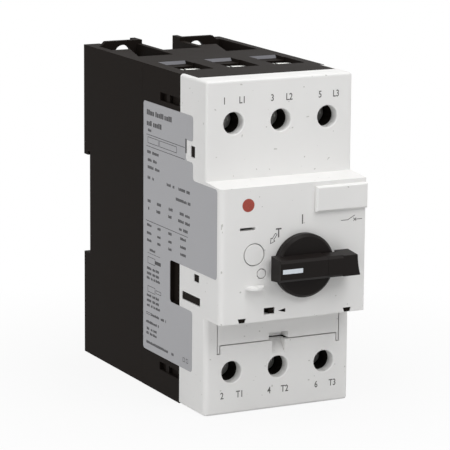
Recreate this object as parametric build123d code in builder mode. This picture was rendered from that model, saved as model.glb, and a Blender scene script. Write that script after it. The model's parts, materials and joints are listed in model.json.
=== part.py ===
from build123d import *
import math
import os

os.makedirs("parts", exist_ok=True)

# Three-pole motor protection breaker with a rotary handle, in millimetres.
# x runs to the right, y to the rear and z up, seen from the front.
# Depths are counted from the terminal face and turned into y by deep().

# Outer sizes
width = 54.0
height = 112.2
body_depth = 97.7  # terminal face to rear face
block_depth = 10.65  # operating block ahead of the terminal face
block_bottom = 33.4
block_height = 45.9  # at the terminal face
block_fall = 0.85  # the top of the block drops this much towards the front
knob_reach = 8.6  # knob front ahead of the block face
parting_depth = 48.6  # joint between the two black housings

# White cover
cover_wall = 2.4
cover_rim = 2.0
cover_lip = 8.7  # depth of the cover along the top and bottom
flange_wall = 1.5
flange_depth = 19.1  # depth of the cover along the sides
cover_fit = 0.1
block_left_round = 1.9
block_right_round = 0.3
upper_round = (0.9, 0.5)  # left and right
lower_round = (1.8, 0.5)
edge_round = 0.9
hole_round = 0.4

# Poles and terminals
pole_pitch = 17.4
pole_shift = 0.45
screw_inset = 14.3  # screw axis from the top or bottom
access_radius = 3.7
collar_wall = 1.0
collar_depth = 3.8  # white collar of a screw hole, black tube behind it
screw_head_radius = 3.4
screw_head_depth = 9.0
screw_head_length = 3.0
screw_radius = 2.4
screw_tip_depth = 23.9
thread_play = 0.05
screw_play = 0.3
shoulder_wall = 1.5
chamber_half = 5.6
chamber_roof = 3.7
chamber_length = 20.5
chamber_back = 39.0
mouth_front = 26.0
mouth_back = 40.7
ledge_back = 46.0
ledge_drop = 1.1
ledge_slope = 0.9  # the back of the ledge leans this far
ledge_half = 5.2
clamp_half = 5.2
clamp_wall = 1.2
clamp_front = 18.0
clamp_front_wall = 2.5
clamp_back = 37.7
clamp_back_wall = 1.5
clamp_tall_front = 30.6
clamp_top_gap = 1.4  # clamp top below the top of the housing
clamp_low_top_gap = 8.2
clamp_foot_gap = 19.8
clamp_seam = 0.8
strip = 1.5  # thickness of the current-carrying strips
strip_half = 3.8
strip_play = 0.1
terminal_top_gap = 4.7
run_gap = 24.1  # lower face of the long strip run from the top

# Black housings
mechanism_half = 24.0
mechanism_inset = 30.0
cavity_half = 24.5
cavity_inset = 19.9
cavity_floor = 88.0
partition_wall = 1.6
band_back = 62.0
tower_wall = 2.0
tower_half = 24.0
tower_floor = 17.7
recess_step = 4.0  # floor of the ear recess above the floor of the tower
notch_front = 74.0
notch_half = 7.45
ear_front = 91.5
ear_wall = 2.0
ear_rise = 1.4
ear_shoulder = 21.2  # half width over the raised ears
ear_slope = 1.4
ear_hole_radius = 3.2
ear_hole_pitch = 29.0
ear_hole_drop = 3.35
ear_slot_rise = 3.35
recess_half = 20.8
tower_corner_back = 80.3
tower_corner = (1.8, 7.0)  # width of the filled tower corner, front and back
bolt_radius = 1.5
bolt_head_radius = 2.6
bolt_head_length = 2.0
bolt_tip_depth = 60.0
bolt_inset = 12.2
bolt_play = 0.1

# DIN rail seat in the rear face
rail_height = 35.0
rail_play = 0.3
rail_seat_depth = 5.0
rail_bottom = 37.3
rail_hook = 1.4
rail_edge = 1.6
latch_half = 10.0
latch_neck_half = 8.0
latch_plate = 2.8
latch_play = 0.2
latch_bottom = 9.0
latch_nose = 1.9
latch_travel = 4.0

# Knob, shaft and cam
handle_x = 3.2
handle_z = 51.3
knob_gap = 0.3
knob_radius = 10.7
knob_disc = 3.1
knob_bevel = 0.9
hub_radius = 5.8
hub_play = 0.3
hub_length = 4.4
grip_left = -9.2
grip_right = 19.8
grip_width = 8.0
grip_top_width = 7.0
grip_bevel = 0.8
grip_flare = 1.3  # the lower right corner of the slide stands out this far
grip_overhang = 1.6
lock_seam = 8.4
tongue_length = 8.0
tongue_width = 2.6
tongue_height = 2.6
tongue_play = 0.12
index_length = 7.4
index_width = 1.5
index_inlay = 0.4
index_margin = 0.8
shaft_radius = 2.95
shaft_fit = 0.08
shaft_play = 0.1
shaft_end = 36.4
cam_radius = 8.0
cam_front = 10.0
cam_middle = 20.0
follower_radius = 1.2
follower_arm = 6.5
follower_play = 0.25
contact_travel = 4.5

# Mechanism frame, latch and trip bar
frame_half = 11.5
frame_low = 13.0
frame_high = 15.0
frame_front = 4.0
frame_back = 34.0
frame_wall = 1.5
clip_radius = 5.0
clip_wall = 0.8
pin_radius = 1.0
pin_play = 0.08
lever_depth = 30.0
lever_z = 40.6
lever_half = 1.2
lever_hub = 2.2
lever_front = 17.0
lever_back = 43.0
lever_height = 1.6
trip_depth = 51.5
trip_z = 48.6
trip_radius = 1.5
trip_play = 0.05
trip_arm = 4.4
trip_arm_half = 2.2
trip_front_arm = 7.0
test_slot = (-10.75, -6.67)
test_slot_z = (35.55, 37.77)
test_travel = 2.0
test_plate = 1.5
test_play = 0.1
test_left = -14.0
test_right = -5.0
test_rib = 1.6
test_rib_height = 4.1
test_rib_gap = 0.6  # left between the pushed spring and its rib
test_spring_length = 4.4

# Contacts, arc chutes and releases
bar_front = 50.0
bar_back = 54.0
bar_half_height = 3.8
bar_play = 0.5
bridge_depth = 62.0
bridge = 1.2
bridge_half_length = 12.0
bridge_half = 2.4
tip = 0.8
tip_radius = 1.7
tip_offset = 10.0
closed_gap = 0.02
cheek = 1.1
cheek_play = 0.1
retainer = 1.2
arc_plates = 5
arc_plate = 0.8
arc_pitch = 1.75
arc_front = 60.2
arc_half = 5.5
arc_gap = 1.5
arc_length = 14.4
arc_cheek = 0.8
chute_play = 0.3
yoke_front = 72.0
yoke_back = 87.6
yoke_half = 6.0
yoke_half_height = 7.3
bobbin_flange = 1.0
bobbin_bore = 2.8
bobbin_tube = 3.7
winding_radius = 6.3
winding_play = 0.1
core_radius = 2.7
core_length = 3.4
core_cup_radius = 2.2
core_cup_depth = 2.7
plunger_radius = 2.6
plunger_length = 5.6
plunger_gap = 2.6
striker_radius = 0.8
striker_play = 0.3
striker_tip = 71.0
bimetal = 1.0
bimetal_half = 3.0
bimetal_front = 53.0
bimetal_top = 45.5
heater_half = 4.2
heater_wall = 1.2
heater_bottom = 30.0
heater_top = 41.0
link_bottom = 25.2

# Small front pieces
dial_x = -14.55
dial_z = 56.0
dial_radius = 3.5
plug_x = -11.8
plug_z = 49.45
plug_radius = 1.42
disc_seam = 0.35
disc_depth = 1.45
flap_left = -22.5
flap_right = 23.7
flap_low = 20.7
flap_step = 23.5
flap_leg = 1.35
flap_wall = 1.8
flap_seam = 0.35
flap_margin = 1.4
finger_x = 0.55
finger_half = 3.65
finger_height = 2.35
finger_depth = 4.5
finger_wall = 0.8
ramp_span = (-1.9, 3.0)
ramp_low = 18.9
ramp_depth = 3.8
marker_left = 7.7
marker_bottom = 68.5
marker_height = 8.55
marker_wall = 1.6
marker_bevel = 0.5
label_wall = 0.15
label_front = 9.5
label_back = 47.4
label_z = (13.0, 99.5)
label_notch_back = 14.7
label_notch_z = (84.0, 91.0)
label_block_front = -8.4
label_block_top = 78.1
side_recess_back = 26.3
side_recess_z = (33.8, 48.2)
side_recess_depth = 1.6
rib_recess_back = 34.5
rib_recess_inset = (8.2, 11.0)
rib_span = (28.0, 30.5)
rib_drop = 0.5  # the rib in the recess stands this far below the side
catch_windows = (((8.0, 11.0), (85.75, 89.6)), ((4.5, 8.3), (44.5, 47.1)),
                 ((3.7, 17.2), (36.7, 39.5)))
nub_play = 0.15
nub_drop = 0.2  # catch nubs end this far below the side
nub_arm = 1.2
dial_slot = (-19.8, -14.2)
dial_slot_z = (64.2, 65.2)
catch_x = (-18.8, 20.5)
catch_rise = 1.55
catch_width = 3.1
catch_low_width = 2.1
catch_depth = 5.0
tab_x = -14.3
tab_z = (44.6, 45.6)
tab_radius = 3.2
tab_hole_radius = 0.65

# Levels worked out from the sizes above
half = width / 2
face_y = block_depth + knob_reach - (body_depth + block_depth + knob_reach) / 2
block_face = -block_depth
block_top = block_bottom + block_height
block_front_top = block_top - block_fall
inner_half = half - flange_wall
middle_z = height / 2
pole_x = [pole_shift + step * pole_pitch for step in (-1, 0, 1)]
web_x = [pole_shift - pole_pitch / 2, pole_shift + pole_pitch / 2]
screw_head_back = screw_head_depth + screw_head_length
shoulder_front = screw_head_back + strip_play
chamber_front = shoulder_front + shoulder_wall
plate_front = screw_tip_depth + strip_play
knob_front = block_face - knob_reach
knob_back = block_face - knob_gap
disc_front = knob_back - knob_disc
grip_z = (handle_z - grip_top_width / 2, handle_z + grip_top_width / 2)
moving_tip_back = bridge_depth + bridge + tip
fixed_tip_front = moving_tip_back + contact_travel + closed_gap
fixed_strip_front = fixed_tip_front + tip
fixed_strip_back = fixed_strip_front + strip
seat_inner = body_depth - rail_seat_depth
rail_top = rail_bottom + rail_height + 2 * rail_play
cam_slope = contact_travel / (2 * follower_arm * math.sin(math.radians(45)))
arc_inner = bridge_half_length + arc_gap
arc_back = arc_front + (arc_plates - 1) * arc_pitch + arc_plate
arc_spans = [(middle_z + arc_inner, middle_z + arc_inner + arc_length),
             (middle_z - arc_inner - arc_length, middle_z - arc_inner)]
spring_left = test_left - test_spring_length
rib_right = spring_left - test_travel - test_rib_gap
sides = ("line", "load")


def deep(depth):
    """y of the plane lying this far behind the terminal face."""
    return face_y + depth


def from_end(side, near, far):
    """Heights between two distances from the top (line) or bottom (load)."""
    if side == "line":
        return (height - far, height - near)
    return (near, far)


def slab(x_span, depth_span, z_span, mode=Mode.ADD):
    """Box between two x, two depths and two heights."""
    x_low, x_high = x_span
    near, far = depth_span
    z_low, z_high = z_span
    with Locations(((x_low + x_high) / 2, deep((near + far) / 2), (z_low + z_high) / 2)):
        Box(x_high - x_low, far - near, z_high - z_low, mode=mode)


def rod(x, z, depth_span, radius, mode=Mode.ADD):
    """Round bar or hole along y between two depths."""
    near, far = depth_span
    with Locations(Location((x, deep((near + far) / 2), z), (90, 0, 0))):
        Cylinder(radius, far - near, mode=mode)


def cross_rod(x_span, depth, z, radius, mode=Mode.ADD):
    """Round bar or hole along x between two x."""
    x_low, x_high = x_span
    with Locations(Location(((x_low + x_high) / 2, deep(depth), z), (0, 90, 0))):
        Cylinder(radius, x_high - x_low, mode=mode)


def front_plane(depth):
    """Plane facing the front at this depth, with x to the right and z up."""
    return Plane(origin=(0, deep(depth), 0), x_dir=(1, 0, 0), z_dir=(0, -1, 0))


def side_plane(x):
    """Plane facing right at this x, with depth to the right and z up."""
    return Plane(origin=(x, deep(0), 0), x_dir=(0, 1, 0), z_dir=(1, 0, 0))


def around(centre, reach):
    """Span of this reach to both sides of a centre."""
    return (centre - reach, centre + reach)


# White front cover: a cap with side flanges and the raised operating block
with BuildPart() as front_cover:
    slab((-half, half), (0, flange_depth), (0, height))
    with BuildSketch(side_plane(-half)) as block_side:
        with BuildLine():
            Polyline((1, block_bottom), (block_face, block_bottom),
                     (block_face, block_front_top), (0, block_top), (1, block_top), close=True)
        make_face()
    extrude(block_side.sketch, amount=width)
    block_edges = front_cover.edges().filter_by(Axis.Z).group_by(Axis.Y)[0].sort_by(Axis.X)
    fillet(block_edges[0], block_left_round)
    fillet(front_cover.edges().filter_by(Axis.Z).group_by(Axis.Y)[0].sort_by(Axis.X)[-1],
           block_right_round)
    # square corner behind the marker plate
    slab((half - block_right_round, half), (block_face, 0), (marker_bottom, block_front_top))
    for ends, radii in ((slice(0, 2), lower_round), (slice(2, 4), upper_round)):
        for place, radius in zip((0, -1), radii):
            cap_edges = front_cover.edges().filter_by(Axis.Z).filter_by_position(
                Axis.Y, deep(0) - 0.01, deep(0) + 0.01).sort_by(Axis.Z)
            fillet(cap_edges[ends].sort_by(Axis.X)[place], radius)
    terminal_edges = front_cover.edges().filter_by(Plane.XZ).filter_by_position(
        Axis.Y, deep(0) - 0.01, deep(0) + 0.01)
    rim_edges = terminal_edges.group_by(Axis.Z)[0] + terminal_edges.group_by(Axis.Z)[-1]
    fillet(rim_edges, edge_round)
    slab(around(0, inner_half), (cover_lip, flange_depth), (-1, height + 1), Mode.SUBTRACT)
    slab(around(0, inner_half), (cover_wall, flange_depth),
         (cover_rim, height - cover_rim), Mode.SUBTRACT)
    slab(around(0, inner_half), (block_face + cover_wall, cover_wall),
         (block_bottom + cover_rim, block_front_top - cover_rim), Mode.SUBTRACT)
    for x in pole_x:
        for z in (screw_inset, height - screw_inset):
            rod(x, z, (cover_wall, collar_depth), access_radius + collar_wall)
            rod(x, z, (-1, collar_depth), access_radius, Mode.SUBTRACT)
    hole_rims = front_cover.edges().filter_by(GeomType.CIRCLE).filter_by_position(
        Axis.Y, deep(0) - 0.01, deep(0) + 0.01)
    fillet(hole_rims.filter_by(lambda edge: abs(edge.radius - access_radius) < 0.01), hole_round)
    # knob bore, blank discs and the test slot
    rod(handle_x, handle_z, (block_face - 1, 0), hub_radius + hub_play, Mode.SUBTRACT)
    for x, z, radius in ((dial_x, dial_z, dial_radius), (plug_x, plug_z, plug_radius)):
        rod(x, z, (block_face - 1, block_face + disc_depth), radius + disc_seam, Mode.SUBTRACT)
        rod(x, z, (block_face, 0), radius / 2 + disc_seam, Mode.SUBTRACT)
    slab(test_slot, (block_face - 1, 0), test_slot_z, Mode.SUBTRACT)
    # slot above the dial and the two catch notches in the lower edge
    slab(dial_slot, (block_face - 1, block_face + cover_wall + 1), dial_slot_z, Mode.SUBTRACT)
    for x in catch_x:
        with BuildSketch(front_plane(block_face)) as catch_notch:
            with BuildLine():
                Polyline((x - catch_low_width / 2, block_bottom),
                         (x - catch_width / 2, block_bottom + catch_rise),
                         (x + catch_width / 2, block_bottom + catch_rise),
                         (x + catch_low_width / 2, block_bottom), close=True)
            make_face()
        extrude(catch_notch.sketch, amount=-catch_depth, mode=Mode.SUBTRACT)
        slab(around(x, catch_low_width / 2), (block_face + cover_wall, block_face + catch_depth),
             (block_bottom, block_bottom + cover_rim + 1), Mode.SUBTRACT)
    # half-round sealing tab with its wire hole
    with BuildSketch(Plane.XY.offset(tab_z[0])) as seal_tab:
        with Locations((tab_x, deep(block_face))):
            Circle(tab_radius)
        with Locations((tab_x, deep(block_face) + tab_radius)):
            Rectangle(3 * tab_radius, 2 * tab_radius, mode=Mode.SUBTRACT)
        with Locations((tab_x, deep(block_face) - tab_radius / 2)):
            Circle(tab_hole_radius, mode=Mode.SUBTRACT)
    extrude(seal_tab.sketch, amount=tab_z[1] - tab_z[0])
    # pocket and window of the accessory flap, with the lift ramp under it
    with BuildSketch(front_plane(0)) as flap_pocket:
        with BuildLine():
            Polyline((flap_left, block_bottom), (flap_right, block_bottom),
                     (flap_right, flap_low), (flap_right - flap_leg, flap_low),
                     (flap_right - flap_leg, flap_step), (flap_left + flap_leg, flap_step),
                     (flap_left + flap_leg, flap_low), (flap_left, flap_low), close=True)
        make_face()
    extrude(flap_pocket.sketch, amount=-flap_wall, mode=Mode.SUBTRACT)
    slab((flap_left + flap_margin, flap_right - flap_margin), (0, cover_wall + 1),
         (flap_step + flap_margin, block_bottom), Mode.SUBTRACT)
    slab(around(finger_x, finger_half + finger_wall + flap_seam), (0, cover_wall + 1),
         (flap_step, flap_step + flap_margin), Mode.SUBTRACT)
    slab((ramp_span[0] - finger_wall, ramp_span[1] + finger_wall),
         (cover_wall, ramp_depth + finger_wall), (screw_inset + access_radius + 2.0, flap_step))
    with BuildSketch(side_plane(ramp_span[0])) as lift_ramp:
        with BuildLine():
            Polyline((0, ramp_low), (ramp_depth, flap_step), (-1, flap_step), (-1, ramp_low),
                     close=True)
        make_face()
    extrude(lift_ramp.sketch, amount=ramp_span[1] - ramp_span[0], mode=Mode.SUBTRACT)
    # catch windows in both flanges
    for low, high in ((-half - 1, -inner_half + 1), (inner_half - 1, half + 1)):
        for window_depth, window_z in catch_windows:
            slab((low, high), window_depth, window_z, Mode.SUBTRACT)
    # rib that the test spring bears on
    slab((rib_right - test_rib, rib_right), (block_face + cover_wall, 0),
         (block_bottom + cover_rim, block_bottom + cover_rim + test_rib_height))
front_cover.part.label = "front_cover"
export_step(front_cover.part, "parts/front_cover.step")

# Snap-out flap over the accessory slot
finger_top = flap_step + flap_seam + finger_height
with BuildPart() as accessory_flap:
    with BuildSketch(front_plane(0)) as flap_face:
        with BuildLine():
            Polyline((flap_left + flap_seam, block_bottom - flap_seam),
                     (flap_right - flap_seam, block_bottom - flap_seam),
                     (flap_right - flap_seam, flap_low + flap_seam),
                     (flap_right - flap_leg + flap_seam, flap_low + flap_seam),
                     (flap_right - flap_leg + flap_seam, flap_step + flap_seam),
                     (flap_left + flap_leg - flap_seam, flap_step + flap_seam),
                     (flap_left + flap_leg - flap_seam, flap_low + flap_seam),
                     (flap_left + flap_seam, flap_low + flap_seam), close=True)
        make_face()
    extrude(flap_face.sketch, amount=-flap_wall)
    # finger pocket, open at the front and downwards
    slab(around(finger_x, finger_half + finger_wall), (0, finger_depth + finger_wall),
         (flap_step + flap_seam, finger_top + finger_wall))
    slab(around(finger_x, finger_half), (-1, finger_depth), (flap_low, finger_top), Mode.SUBTRACT)
    # snap legs behind the flap
    for x in (flap_left + 6, flap_right - 6):
        slab(around(x, 2.0), (flap_wall, 6.0), (flap_step + 3.2, flap_step + 4.4))
accessory_flap.part.label = "accessory_flap"
export_step(accessory_flap.part, "parts/accessory_flap.step")

# Blank marker plate on the block face
with BuildPart() as marker_plate:
    slab((marker_left, half), (block_face - marker_wall, block_face),
         (marker_bottom, marker_bottom + marker_height))
    chamfer(marker_plate.edges().group_by(Axis.Y)[0], marker_bevel)
marker_plate.part.label = "marker_plate"
export_step(marker_plate.part, "parts/marker_plate.step")

# Rating label on the left side, kept clear of the catch windows
with BuildPart() as side_label:
    with BuildSketch(side_plane(-half)) as label_face:
        with BuildLine():
            Polyline((label_back, label_z[0]), (label_back, label_z[1]),
                     (label_front, label_z[1]), (label_front, label_notch_z[1]),
                     (label_notch_back, label_notch_z[1]), (label_notch_back, label_notch_z[0]),
                     (label_front, label_notch_z[0]), (label_front, label_block_top),
                     (label_block_front, label_block_top), (label_block_front, side_recess_z[1]),
                     (side_recess_back, side_recess_z[1]), (side_recess_back, side_recess_z[0]),
                     (label_front, side_recess_z[0]), (label_front, label_z[0]), close=True)
        make_face()
    extrude(label_face.sketch, amount=-label_wall)
side_label.part.label = "side_label"
export_step(side_label.part, "parts/side_label.step")


def blank_disc(x, z, radius):
    """Flush disc with a snap stem behind it."""
    rod(x, z, (block_face, block_face + disc_depth), radius)
    rod(x, z, (block_face + disc_depth, block_face + cover_wall + 1), radius / 2)


with BuildPart() as dial_cover:
    blank_disc(dial_x, dial_z, dial_radius)
dial_cover.part.label = "dial_cover"
export_step(dial_cover.part, "parts/dial_cover.step")

with BuildPart() as calibration_plug:
    blank_disc(plug_x, plug_z, plug_radius)
calibration_plug.part.label = "calibration_plug"
export_step(calibration_plug.part, "parts/calibration_plug.step")


# Front black housing: holds the terminals and the switch mechanism
with BuildPart() as middle_housing:
    slab((-half, half), (flange_depth, parting_depth), (0, height))
    slab(around(0, inner_half - cover_fit), (cover_lip, flange_depth), (0, height))
    slab(around(0, mechanism_half), (cover_lip - 1, parting_depth + 1),
         (mechanism_inset, height - mechanism_inset), Mode.SUBTRACT)
    for side in sides:
        chamber_z = from_end(side, chamber_roof, chamber_roof + chamber_length)
        for x in pole_x:
            screw_z = screw_inset if side == "load" else height - screw_inset
            rod(x, screw_z, (collar_depth + cover_fit, cover_lip), access_radius + collar_wall)
            rod(x, screw_z, (collar_depth - 1, shoulder_front),
                screw_head_radius + screw_play, Mode.SUBTRACT)
            rod(x, screw_z, (shoulder_front, chamber_front + 1),
                screw_radius + screw_play, Mode.SUBTRACT)
            slab(around(x, chamber_half), (chamber_front, chamber_back), chamber_z, Mode.SUBTRACT)
            slab(around(x, chamber_half), (mouth_front, mouth_back),
                 from_end(side, -1, chamber_roof), Mode.SUBTRACT)
            slab(around(x, ledge_half), (mouth_front, ledge_back),
                 from_end(side, -1, ledge_drop), Mode.SUBTRACT)
            ledge_z, end_z = ((height - ledge_drop, height) if side == "line"
                              else (ledge_drop, 0))
            with BuildSketch(side_plane(x - ledge_half)) as ledge_lean:
                with BuildLine():
                    Polyline((ledge_back - 1, ledge_z), (ledge_back, ledge_z),
                             (ledge_back + ledge_slope, end_z), (ledge_back - 1, end_z),
                             close=True)
                make_face()
            extrude(ledge_lean.sketch, amount=2 * ledge_half, mode=Mode.SUBTRACT)
            # slot for the strip that leads to the rear base
            slab(around(x, strip_half + strip_play), (chamber_back - 1, parting_depth + 1),
                 from_end(side, run_gap - strip - strip_play, run_gap + strip_play),
                 Mode.SUBTRACT)
        for x in web_x:
            bolt_z = bolt_inset if side == "load" else height - bolt_inset
            rod(x, bolt_z, (cover_lip - 1, cover_lip + bolt_head_length + bolt_play),
                bolt_head_radius + bolt_play, Mode.SUBTRACT)
            rod(x, bolt_z, (cover_lip, parting_depth + 1), bolt_radius + bolt_play,
                Mode.SUBTRACT)
    for sign in (-1, 1):
        # shallow recesses in both sides, two of them with a low rib
        recess_x = sorted((sign * (half + 1), sign * (half - side_recess_depth)))
        slab(recess_x, (flange_depth, side_recess_back), side_recess_z, Mode.SUBTRACT)
        for side in sides:
            recess_z = from_end(side, *rib_recess_inset)
            slab(recess_x, (flange_depth, rib_recess_back), recess_z, Mode.SUBTRACT)
            slab(sorted((sign * inner_half, sign * (half - rib_drop))), rib_span, recess_z)
        # nubs on arms of the housing, one in each catch window of the cover
        arm_inner = inner_half - cover_fit - nub_arm
        for (window_front, window_back), (window_low, window_high) in catch_windows:
            nub_z = (window_low + nub_play, window_high - nub_play)
            slab(sorted((sign * arm_inner, sign * (half - nub_drop))),
                 (window_front + nub_play, window_back - nub_play), nub_z)
            slab(sorted((sign * arm_inner, sign * (arm_inner + nub_arm))),
                 (window_front + nub_play, max(cover_lip + 1, window_back - nub_play)), nub_z)
middle_housing.part.label = "middle_housing"
export_step(middle_housing.part, "parts/middle_housing.step")

# Rear black base: contact chambers, mounting ears and the rail seat
latch_slot_half = latch_half + latch_play
tower_spans = ((-tower_half, pole_shift - notch_half - tower_wall),
               (pole_shift + notch_half + tower_wall, tower_half))
with BuildPart() as rear_base:
    slab((-half, half), (parting_depth, body_depth), (0, height))
    slab(around(0, cavity_half), (parting_depth - 1, cavity_floor),
         (cavity_inset, height - cavity_inset), Mode.SUBTRACT)
    for x in web_x:
        slab(around(x, partition_wall / 2), (parting_depth, cavity_floor),
             (cavity_inset, height - cavity_inset))
        # openings for the contact bar, its spring and the trip bar
        slab(around(x, partition_wall), (parting_depth - 1, bar_back + contact_travel + bar_play),
             around(middle_z, bar_half_height + bar_play), Mode.SUBTRACT)
        slab(around(x, partition_wall), (bar_back, bridge_depth + contact_travel),
             around(middle_z, bar_half_height - 1.2), Mode.SUBTRACT)
        slab(around(x, partition_wall), (parting_depth - 1, trip_depth),
             around(trip_z, trip_radius + trip_play), Mode.SUBTRACT)
        cross_rod(around(x, partition_wall), trip_depth, trip_z,
                  trip_radius + trip_play, Mode.SUBTRACT)
        # ribs that hold the arc chutes on both sides of the partition
        for arc_z in arc_spans:
            slab(around(x, pole_pitch / 2 - arc_half - arc_cheek - chute_play),
                 (arc_front, arc_back), arc_z)
    for x in (-cavity_half - 1, cavity_half + 1):
        slab(around(x, 1.01), (parting_depth - 1, trip_depth),
             around(trip_z, trip_radius + trip_play), Mode.SUBTRACT)
        cross_rod(around(x, 1.01), trip_depth, trip_z, trip_radius + trip_play, Mode.SUBTRACT)
    for side in sides:
        top_z = from_end(side, -1, tower_floor)
        # two open towers, a central notch and the recess behind the ears
        slab(around(pole_shift, notch_half), (notch_front, body_depth + 1), top_z, Mode.SUBTRACT)
        for left, right in tower_spans:
            slab((left, right), (band_back, ear_front), top_z, Mode.SUBTRACT)
            slab((max(left, -recess_half), min(right, recess_half)),
                 (ear_front + ear_wall, body_depth + 1),
                 from_end(side, -1, tower_floor - recess_step), Mode.SUBTRACT)
        for x in web_x:
            bolt_z = bolt_inset if side == "load" else height - bolt_inset
            rod(x, bolt_z, (parting_depth - 1, bolt_tip_depth + 0.5), bolt_radius + bolt_play,
                Mode.SUBTRACT)
    # raised ears between the walls of the towers, with a filled corner in front of each
    for left, right in tower_spans:
        slab((left, left + tower_corner[0]), (band_back, tower_corner_back),
             (height - tower_floor, height))
        with BuildSketch(Plane.XY.offset(height - tower_floor)) as corner_fill:
            with BuildLine():
                Polyline((left, deep(band_back)), (left + tower_corner[0], deep(band_back)),
                         (left + tower_corner[1], deep(tower_corner_back)),
                         (left, deep(tower_corner_back)), close=True)
            make_face()
        extrude(corner_fill.sketch, amount=tower_floor)
    for inner, outer in ((pole_shift - notch_half, -ear_shoulder),
                         (pole_shift + notch_half, ear_shoulder)):
        sign = math.copysign(1, outer)
        with BuildSketch(front_plane(ear_front)) as ear_face:
            with BuildLine():
                Polyline((inner, height - 1), (inner, height + ear_rise),
                         (outer, height + ear_rise), (outer + sign * ear_slope, height),
                         (outer + sign * ear_slope, height - 1), close=True)
            make_face()
        extrude(ear_face.sketch, amount=-ear_wall)
        slab(sorted((inner, inner + sign * tower_wall)), (ear_front, body_depth),
             (height - 1, height + ear_rise))
    for x in around(0, ear_hole_pitch / 2):
        rod(x, height - ear_hole_drop, (ear_front - 1, ear_front + ear_wall + 1),
            ear_hole_radius, Mode.SUBTRACT)
        rod(x, ear_slot_rise, (ear_front - 1, ear_front + ear_wall + 1), ear_hole_radius,
            Mode.SUBTRACT)
        slab(around(x, ear_hole_radius), (ear_front - 1, ear_front + ear_wall + 1),
             (-1, ear_slot_rise), Mode.SUBTRACT)
    # rail seat with a hook groove at the top, and the slot of the rail latch below
    slab((-half - 1, half + 1), (seat_inner, body_depth + 1), (rail_bottom, rail_top),
         Mode.SUBTRACT)
    slab((-half - 1, half + 1), (seat_inner, seat_inner + rail_edge),
         (rail_top - 1, rail_top + rail_hook), Mode.SUBTRACT)
    slab(around(pole_shift, latch_slot_half),
         (seat_inner - latch_play, seat_inner + latch_plate + latch_play),
         (latch_bottom - latch_travel - latch_play, rail_bottom + 1), Mode.SUBTRACT)
    slab(around(pole_shift, latch_neck_half + latch_play), (seat_inner, body_depth + 1),
         (-1, rail_bottom + 1), Mode.SUBTRACT)
rear_base.part.label = "rear_base"
export_step(rear_base.part, "parts/rear_base.step")

# Rail latch: a sliding plate with a bevelled nose behind the rail edge
latch_front = seat_inner
latch_window = (11.0, 17.4)
with BuildPart() as rail_latch:
    slab(around(pole_shift, latch_half), (latch_front, latch_front + latch_plate),
         (latch_bottom, rail_bottom - rail_play))
    slab(around(pole_shift, latch_neck_half), (latch_front + latch_plate, body_depth),
         (latch_bottom, rail_bottom - rail_play))
    with BuildSketch(side_plane(pole_shift - latch_neck_half)) as nose:
        with BuildLine():
            Polyline((latch_front + rail_edge, rail_bottom - 1),
                     (latch_front + rail_edge, rail_bottom + latch_nose),
                     (latch_front + latch_plate, rail_bottom + latch_nose),
                     (body_depth, rail_bottom), (body_depth, rail_bottom - 1), close=True)
        make_face()
    extrude(nose.sketch, amount=2 * latch_neck_half)
    # pull slot for a screwdriver and the window of the latch spring
    slab(around(pole_shift, 3.0), (body_depth - 2.4, body_depth + 1),
         (latch_bottom + 14, latch_bottom + 17), Mode.SUBTRACT)
    slab(around(pole_shift, 2.6), (latch_front - 1, latch_front + latch_plate), latch_window,
         Mode.SUBTRACT)
rail_latch.part.label = "rail_latch"
export_step(rail_latch.part, "parts/rail_latch.step")


def sleeve_along_z(x, depth, z_span, outer, inner):
    """Spring drawn as a sleeve standing along z."""
    z_low, z_high = z_span
    with Locations((x, deep(depth), (z_low + z_high) / 2)):
        Cylinder(outer, z_high - z_low)
        Cylinder(inner, z_high - z_low, mode=Mode.SUBTRACT)


with BuildPart() as latch_spring:
    sleeve_along_z(pole_shift, latch_front + latch_plate / 2,
                   (latch_window[0] + 0.2, latch_window[1] - 0.2), 1.2, 0.8)
latch_spring.part.label = "latch_spring"
export_step(latch_spring.part, "parts/latch_spring.step")

# Through bolts from the front housing into the rear base
with BuildPart() as housing_bolts:
    for x in web_x:
        for z in (bolt_inset, height - bolt_inset):
            rod(x, z, (cover_lip, cover_lip + bolt_head_length), bolt_head_radius)
            rod(x, z, (cover_lip + bolt_head_length, bolt_tip_depth), bolt_radius)
            slab(around(x, 0.4), (cover_lip - 1, cover_lip + 0.9),
                 around(z, 1.8), Mode.SUBTRACT)
            slab(around(x, 1.8), (cover_lip - 1, cover_lip + 0.9),
                 around(z, 0.4), Mode.SUBTRACT)
housing_bolts.part.label = "housing_bolts"
export_step(housing_bolts.part, "parts/housing_bolts.step")

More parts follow.
